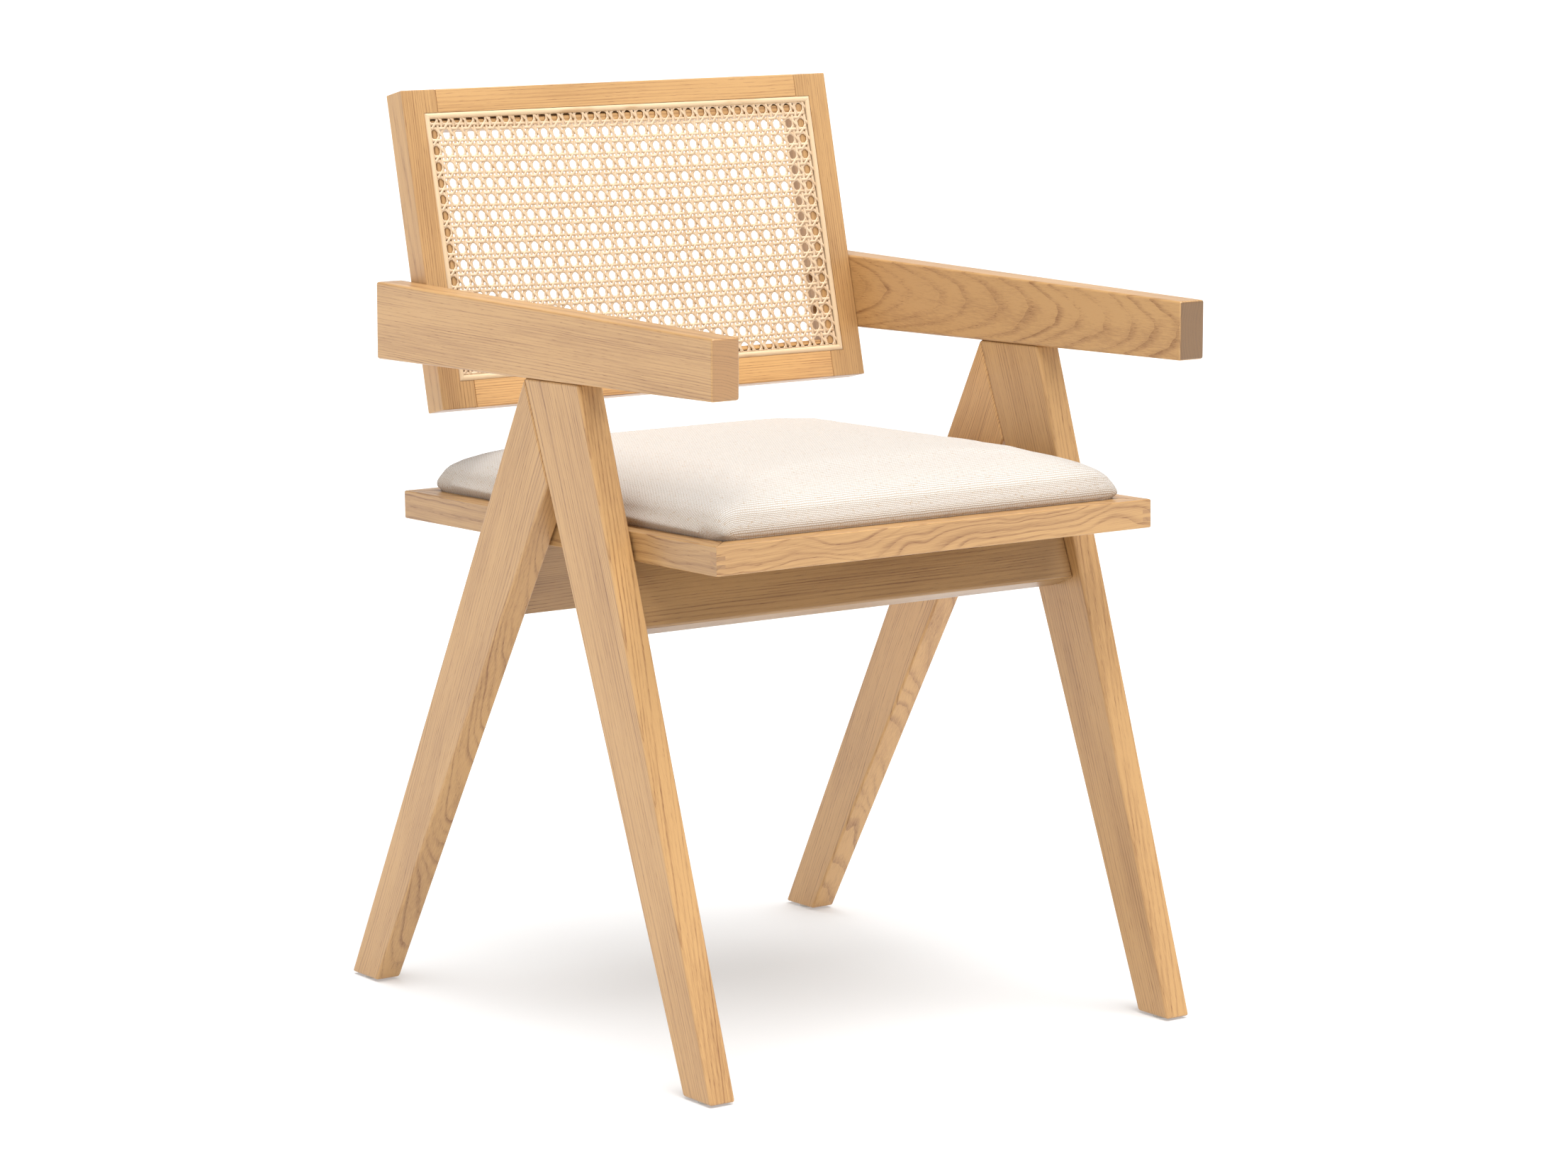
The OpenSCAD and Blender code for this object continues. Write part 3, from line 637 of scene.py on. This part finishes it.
def lift(cane, turn, side, x, z):
    """Rise of a strand towards the front or the rear as it passes the others."""
    wave_x = math.sin(2 * math.pi * (x / cane.across - 0.5))
    wave_z = math.sin(2 * math.pi * (z / cane.up - 0.5))
    if turn == 0:
        return -side * cane.weave * wave_z
    if turn == 90:
        return side * cane.weave * wave_x
    return -side * cane.weave * 1.6 * math.cos(2 * math.pi * x / cane.across)


COVER_FRAMES = 20
HELD_BELOW = 6 * MM
FREE_OVER = 12 * MM
CLOTH_EDGE = 20 * MM


class CHAIR_OT_seat_pad(Operator):
    """Domed pad: foam under a ribbed cloth, filled out slightly by the cloth solver"""
    bl_idname = "chair.seat_pad"
    bl_label = "Seat pad"

    def execute(self, context):
        pad = context.scene.chair_pad
        seat = seat_frame()
        inverse = seat.inverted()
        bm = bmesh.new()
        bm.from_mesh(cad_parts["seat_pad"].data)
        bmesh.ops.remove_doubles(bm, verts=bm.verts, dist=0.01 * MM)
        bmesh.ops.recalc_face_normals(bm, faces=bm.faces)
        piece = finish_piece(bm, "seat_cushion", cloth_material(pad), ["seat_pad"])
        remesh = piece.modifiers.new("cells", "REMESH")
        remesh.mode = "VOXEL"
        remesh.voxel_size = pad.voxel
        apply_modifiers(piece)
        smooth_mesh(piece)
        blow_up(piece, pad, inverse)
        wrap_cloth(piece, inverse)
        for face in piece.data.polygons:
            face.use_smooth = True
        finer = piece.modifiers.new("finer", "SUBSURF")
        finer.levels = finer.render_levels = 1
        return {"FINISHED"}


def apply_modifiers(piece):
    """Replaces a piece's mesh by what its modifiers make of it."""
    evaluated = piece.evaluated_get(bpy.context.evaluated_depsgraph_get())
    mesh = bpy.data.meshes.new_from_object(evaluated)
    old = piece.data
    piece.modifiers.clear()
    piece.data = mesh
    bpy.data.meshes.remove(old)


def smooth_mesh(piece):
    bm = bmesh.new()
    bm.from_mesh(piece.data)
    bmesh.ops.smooth_vert(bm, verts=bm.verts, factor=0.5, use_axis_x=True, use_axis_y=True, use_axis_z=True)
    bm.to_mesh(piece.data)
    bm.free()


def blow_up(piece, pad, inverse):
    """Starts the cover slack and lets pressure fill it, but no point ends further than reach from its start.

    The part inside the seat frame stays put.
    """
    scene = bpy.context.scene
    start = [v.co.copy() for v in piece.data.vertices]
    normals = [v.normal.copy() for v in piece.data.vertices]
    held = piece.vertex_groups.new(name="held")
    for i, v in enumerate(piece.data.vertices):
        height = (inverse @ start[i]).z
        free = min(1.0, max(0.0, (height - HELD_BELOW) / FREE_OVER))
        held.add([i], 1.0 - free, "REPLACE")
        v.co = start[i] - normals[i] * pad.slack * free
    cloth = piece.modifiers.new("cover", "CLOTH")
    cloth.settings.quality = 6
    cloth.settings.mass = 0.3
    cloth.settings.tension_stiffness = cloth.settings.compression_stiffness = 20
    cloth.settings.bending_stiffness = 2.0
    cloth.settings.use_pressure = True
    cloth.settings.uniform_pressure_force = pad.pressure
    cloth.settings.vertex_group_mass = "held"
    cloth.settings.effector_weights.gravity = 0
    cloth.point_cache.frame_start, cloth.point_cache.frame_end = 1, COVER_FRAMES
    for number in range(1, COVER_FRAMES + 1):
        scene.frame_set(number)
    apply_modifiers(piece)
    for i, v in enumerate(piece.data.vertices):
        step = v.co - start[i]
        if step.length > pad.reach:
            v.co = start[i] + step.normalized() * pad.reach
    scene.frame_set(1)


def wrap_cloth(piece, inverse):
    """Lays the cloth's threads over the pad: across and along on top, and on down the sides, in metres."""
    low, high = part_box("seat_pad")
    uv = piece.data.uv_layers.new(name="threads")
    middle = inverse @ ((low + high) / 2)
    for loop in piece.data.loops:
        vert = piece.data.vertices[loop.vertex_index]
        at = inverse @ vert.co
        normal = inverse.to_3x3() @ vert.normal
        x, y = at.x, at.y - middle.y
        drop = max(0.0, CLOTH_EDGE - at.z)
        share = normal.x ** 2 / max(normal.x ** 2 + normal.y ** 2, 1e-6)
        flat = min(1.0, max(0.0, (1 - abs(normal.z)) * 2))
        u = x + math.copysign(drop * share * flat, x)
        v = y + math.copysign(drop * (1 - share) * flat, y)
        uv.data[loop.index].uv = (u, v)


def cloth_material(pad):
    """Ribbed linen-like cloth: beads along each rib, flecks of darker thread, and painted shade in the hollows
    and down the sides.
    """
    material, tree, shader = new_material("pad_cloth")
    coords = put(tree, "ShaderNodeTexCoord")
    threads = put(tree, "ShaderNodeUVMap", uv_map="threads").outputs[0]
    wobble = put(tree, "ShaderNodeTexNoise",
                 {"Vector": threads, "Scale": 120.0, "Detail": 2.0}).outputs["Color"]
    moved = put(tree, "ShaderNodeVectorMath", {0: wobble, 1: (-0.5, -0.5, -0.5)}, operation="ADD").outputs[0]
    moved = put(tree, "ShaderNodeVectorMath", {0: moved, "Scale": 0.0012}, operation="SCALE").outputs[0]
    at = put(tree, "ShaderNodeVectorMath", {0: threads, 1: moved}, operation="ADD").outputs[0]
    parts = put(tree, "ShaderNodeSeparateXYZ", {0: at})
    row = calc(tree, "DIVIDE", parts.outputs[1], pad.rib)
    odd = calc(tree, "MULTIPLY", calc(tree, "FLOOR", row), 0.5)
    rib = calc(tree, "ABSOLUTE", calc(tree, "SINE", calc(tree, "MULTIPLY", row, math.pi)))
    column = calc(tree, "ADD", calc(tree, "DIVIDE", parts.outputs[0], pad.seed), odd)
    bead = calc(tree, "ABSOLUTE", calc(tree, "SINE", calc(tree, "MULTIPLY", column, math.pi)))
    beaded = calc(tree, "MULTIPLY_ADD", calc(tree, "POWER", bead, 0.6), 0.55, 0.45)
    height = calc(tree, "MULTIPLY", calc(tree, "POWER", rib, 0.7), beaded)
    place = coords.outputs["Object"]
    fuzz = put(tree, "ShaderNodeTexNoise", {"Vector": place, "Scale": 1500.0, "Detail": 2.0}).outputs[0]
    spots = put(tree, "ShaderNodeTexNoise", {"Vector": place, "Scale": 420.0, "Detail": 1.0}).outputs[0]
    fleck = spread(tree, spots, 0.60, 0.74)
    # painted shade in the hollows between the ribs and beads: the lower the cloth there, the more of the shade
    # colour
    hollow_shade = calc(tree, "MULTIPLY_ADD", height, -0.75, 0.68)
    amount = calc(tree, "ADD", hollow_shade, calc(tree, "MULTIPLY", fleck, 0.3))
    amount = calc(tree, "ADD", amount, calc(tree, "MULTIPLY_ADD", fuzz, 0.3, -0.15))
    # painted shade: the cloth darkens further towards its shade colour where it turns down the sides, away
    # from the overhead light
    facing = put(tree, "ShaderNodeSeparateXYZ", {0: coords.outputs["Normal"]}).outputs[2]
    amount = calc(tree, "ADD", amount, spread(tree, facing, 0.35, 0.97, 0.22, 0.0), clamp=True)
    tree.links.new(blend(tree, amount, tuple(pad.light), tuple(pad.shade)), shader.inputs["Base Color"])
    shader.inputs["Roughness"].default_value = 0.9
    shader.inputs["Specular IOR Level"].default_value = 0.2
    shader.inputs["Sheen Weight"].default_value = 0.25
    shader.inputs["Sheen Roughness"].default_value = 0.5
    bumped(tree, shader, calc(tree, "MULTIPLY_ADD", fuzz, 0.25, height), 0.0006, 0.8)
    return material


class CHAIR_OT_boards(Operator):
    """Plywood boards under the pad"""
    bl_idname = "chair.boards"
    bl_label = "Boards"

    def execute(self, context):
        wood = context.scene.chair_wood
        for name in ("seat_board", "pad_board"):
            dress(name, plywood_material(name, wood))
        return {"FINISHED"}


def plywood_material(name, wood):
    """Birch plywood: rotary-cut figure on the faces and thin layers on the edges."""
    material, tree, shader = new_material("plywood_" + name)
    coords = put(tree, "ShaderNodeTexCoord")
    at = coords.outputs["Object"]
    figure = spread(tree, grain_noise(tree, at, (30, 5, 30), 3.0, 0.6), 0.35, 0.7)
    fibre = grain_noise(tree, at, (800, 20, 800), 2.0)
    parts = put(tree, "ShaderNodeSeparateXYZ", {0: at})
    sloped = calc(tree, "MULTIPLY_ADD", parts.outputs[1], math.tan(SEAT_TILT), parts.outputs[2])
    layer = spread(tree, calc(tree, "SINE", calc(tree, "MULTIPLY", sloped, 2 * math.pi / 0.0033)), -0.2, 0.2)
    upward = put(tree, "ShaderNodeVectorMath", {0: coords.outputs["Normal"], 1: (0, 0, 1)},
                 operation="DOT_PRODUCT").outputs["Value"]
    facing = calc(tree, "ABSOLUTE", upward)
    amount = calc(tree, "MULTIPLY_ADD", figure, 0.35, calc(tree, "MULTIPLY", fibre, 0.35))
    face = blend(tree, amount, (0.56, 0.42, 0.26), (0.40, 0.27, 0.15))
    edge = blend(tree, layer, (0.55, 0.41, 0.25), (0.28, 0.17, 0.09))
    tree.links.new(blend(tree, spread(tree, facing, 0.5, 0.8), edge, face), shader.inputs["Base Color"])
    shader.inputs["Roughness"].default_value = 0.6
    bumped(tree, shader, fibre, 0.0001, 0.5)
    return material


class CHAIR_OT_fastenings(Operator):
    """Dowels, bolts, inserts, screws and foot glides"""
    bl_idname = "chair.fastenings"
    bl_label = "Fastenings"

    def execute(self, context):
        dowel = plain_material("beech_dowel", (0.50, 0.33, 0.18), (0.40, 0.24, 0.12), 0.55, 0.0, 700)
        steel = plain_material("zinc_steel", (0.55, 0.55, 0.56), (0.42, 0.42, 0.43), 0.34, 1.0, 500)
        nylon = plain_material("foot_nylon", (0.62, 0.60, 0.55), (0.52, 0.50, 0.45), 0.48, 0.0, 300)
        for name in ("arm_dowels", "scarf_dowels", "crossbar_dowels", "back_rail_dowels"):
            dress(name, dowel)
        for name in ("back_bolts", "back_inserts", "seat_screws", "pad_screws"):
            dress(name, steel)
        for name in ("left_front_glide", "right_front_glide", "left_rear_glide", "right_rear_glide"):
            dress(name, nylon)
        return {"FINISHED"}


def plain_material(name, light, shade, rough, metal, scale):
    """Two close tones with a fine mottle and a trace of unevenness."""
    material, tree, shader = new_material(name)
    at = put(tree, "ShaderNodeTexCoord").outputs["Object"]
    fine = grain_noise(tree, at, (scale,) * 3, 3.0, 0.6)
    tree.links.new(blend(tree, spread(tree, fine, 0.3, 0.7), light, shade), shader.inputs["Base Color"])
    tree.links.new(calc(tree, "MULTIPLY_ADD", fine, 0.2, rough - 0.1), shader.inputs["Roughness"])
    shader.inputs["Metallic"].default_value = metal
    bumped(tree, shader, fine, 0.00005, 0.5)
    return material


FLOOR_SIZE = 40
CAMERA_TARGET = Vector((0, -0.028, 0.3585))
LIGHT_AIM = Vector((0.05, 0.27, -1))


class CHAIR_OT_studio(Operator):
    """White floor and surround, one wide overhead light and the camera"""
    bl_idname = "chair.studio"
    bl_label = "Studio"

    def execute(self, context):
        studio = context.scene.chair_studio
        scene = context.scene
        world = scene.world or bpy.data.worlds.new("studio")
        scene.world = world
        world.use_nodes = True
        sky = world.node_tree.nodes["Background"]
        sky.inputs["Color"].default_value = (1, 1, 1, 1)
        tree = world.node_tree
        coords = put(tree, "ShaderNodeTexCoord").outputs["Generated"]
        aim = put(tree, "ShaderNodeSeparateXYZ", {0: coords}).outputs[2]
        tree.links.new(spread(tree, aim, 0.08, 0.45, studio.horizon, studio.sky), sky.inputs["Strength"])
        scene.view_settings.view_transform = "Standard"
        bm = bmesh.new()
        bmesh.ops.create_grid(bm, x_segments=1, y_segments=1, size=FLOOR_SIZE)
        mesh = bpy.data.meshes.new("floor")
        bm.to_mesh(mesh)
        bm.free()
        floor = bpy.data.objects.new("floor", mesh)
        scene.collection.objects.link(floor)
        material, tree, shader = new_material("floor_paper")
        place = put(tree, "ShaderNodeTexCoord").outputs["Object"]
        fine = put(tree, "ShaderNodeTexNoise", {"Vector": place, "Scale": 3.0}).outputs[0]
        tone = tuple(studio.floor)
        tree.links.new(blend(tree, fine, tone, tuple(0.985 * c for c in tone)), shader.inputs["Base Color"])
        shader.inputs["Roughness"].default_value = 1.0
        shader.inputs["Specular IOR Level"].default_value = 0.0
        shader.inputs["Emission Color"].default_value = (1, 1, 1, 1)
        shader.inputs["Emission Strength"].default_value = studio.glow
        mesh.materials.append(material)
        lamp = bpy.data.lights.new("overhead", "SUN")
        lamp.energy = studio.top
        lamp.angle = studio.spread
        light = bpy.data.objects.new("overhead", lamp)
        light.rotation_euler = LIGHT_AIM.to_track_quat("-Z", "Y").to_euler()
        scene.collection.objects.link(light)
        a, e = studio.azimuth, studio.elevation
        away = Vector((math.sin(a) * math.cos(e), -math.cos(a) * math.cos(e), math.sin(e)))
        data = bpy.data.cameras.new("camera")
        data.sensor_fit = "HORIZONTAL"
        data.sensor_width = 36
        data.lens = studio.lens
        data.clip_end = 200
        camera = bpy.data.objects.new("camera", data)
        camera.location = CAMERA_TARGET + away * studio.distance
        camera.rotation_euler = (-away).to_track_quat("-Z", "Y").to_euler()
        scene.collection.objects.link(camera)
        scene.camera = camera
        return {"FINISHED"}


class CHAIR_PT_sidebar(Panel):
    """Lists the pieces of the armchair and their settings"""
    bl_idname = "CHAIR_PT_sidebar"
    bl_label = "Armchair"
    bl_space_type = "VIEW_3D"
    bl_region_type = "UI"
    bl_category = "Armchair"

    def draw(self, context):
        for group in ("chair_wood", "chair_cane", "chair_pad", "chair_studio"):
            box = self.layout.box()
            settings = getattr(context.scene, group)
            for key in settings.__annotations__:
                box.prop(settings, key)
        for operator in OPERATORS:
            self.layout.operator(operator.bl_idname)


OPERATORS = (CHAIR_OT_studio, CHAIR_OT_side_frames, CHAIR_OT_crossbars, CHAIR_OT_seat_frame,
             CHAIR_OT_back_frame, CHAIR_OT_cane, CHAIR_OT_seat_pad, CHAIR_OT_boards, CHAIR_OT_fastenings)
GROUPS = {"chair_wood": WoodSettings, "chair_cane": CaneSettings, "chair_pad": PadSettings,
          "chair_studio": StudioSettings}


def register():
    for cls in (*GROUPS.values(), *OPERATORS, CHAIR_PT_sidebar):
        bpy.utils.register_class(cls)
    for key, cls in GROUPS.items():
        setattr(bpy.types.Scene, key, PointerProperty(type=cls))


def unregister():
    for key in GROUPS:
        delattr(bpy.types.Scene, key)
    for cls in reversed((*GROUPS.values(), *OPERATORS, CHAIR_PT_sidebar)):
        bpy.utils.unregister_class(cls)


def main():
    register()
    for operator in OPERATORS:
        group, name = operator.bl_idname.split(".")
        getattr(getattr(bpy.ops, group), name)()


if __name__ == "__main__":
    main()
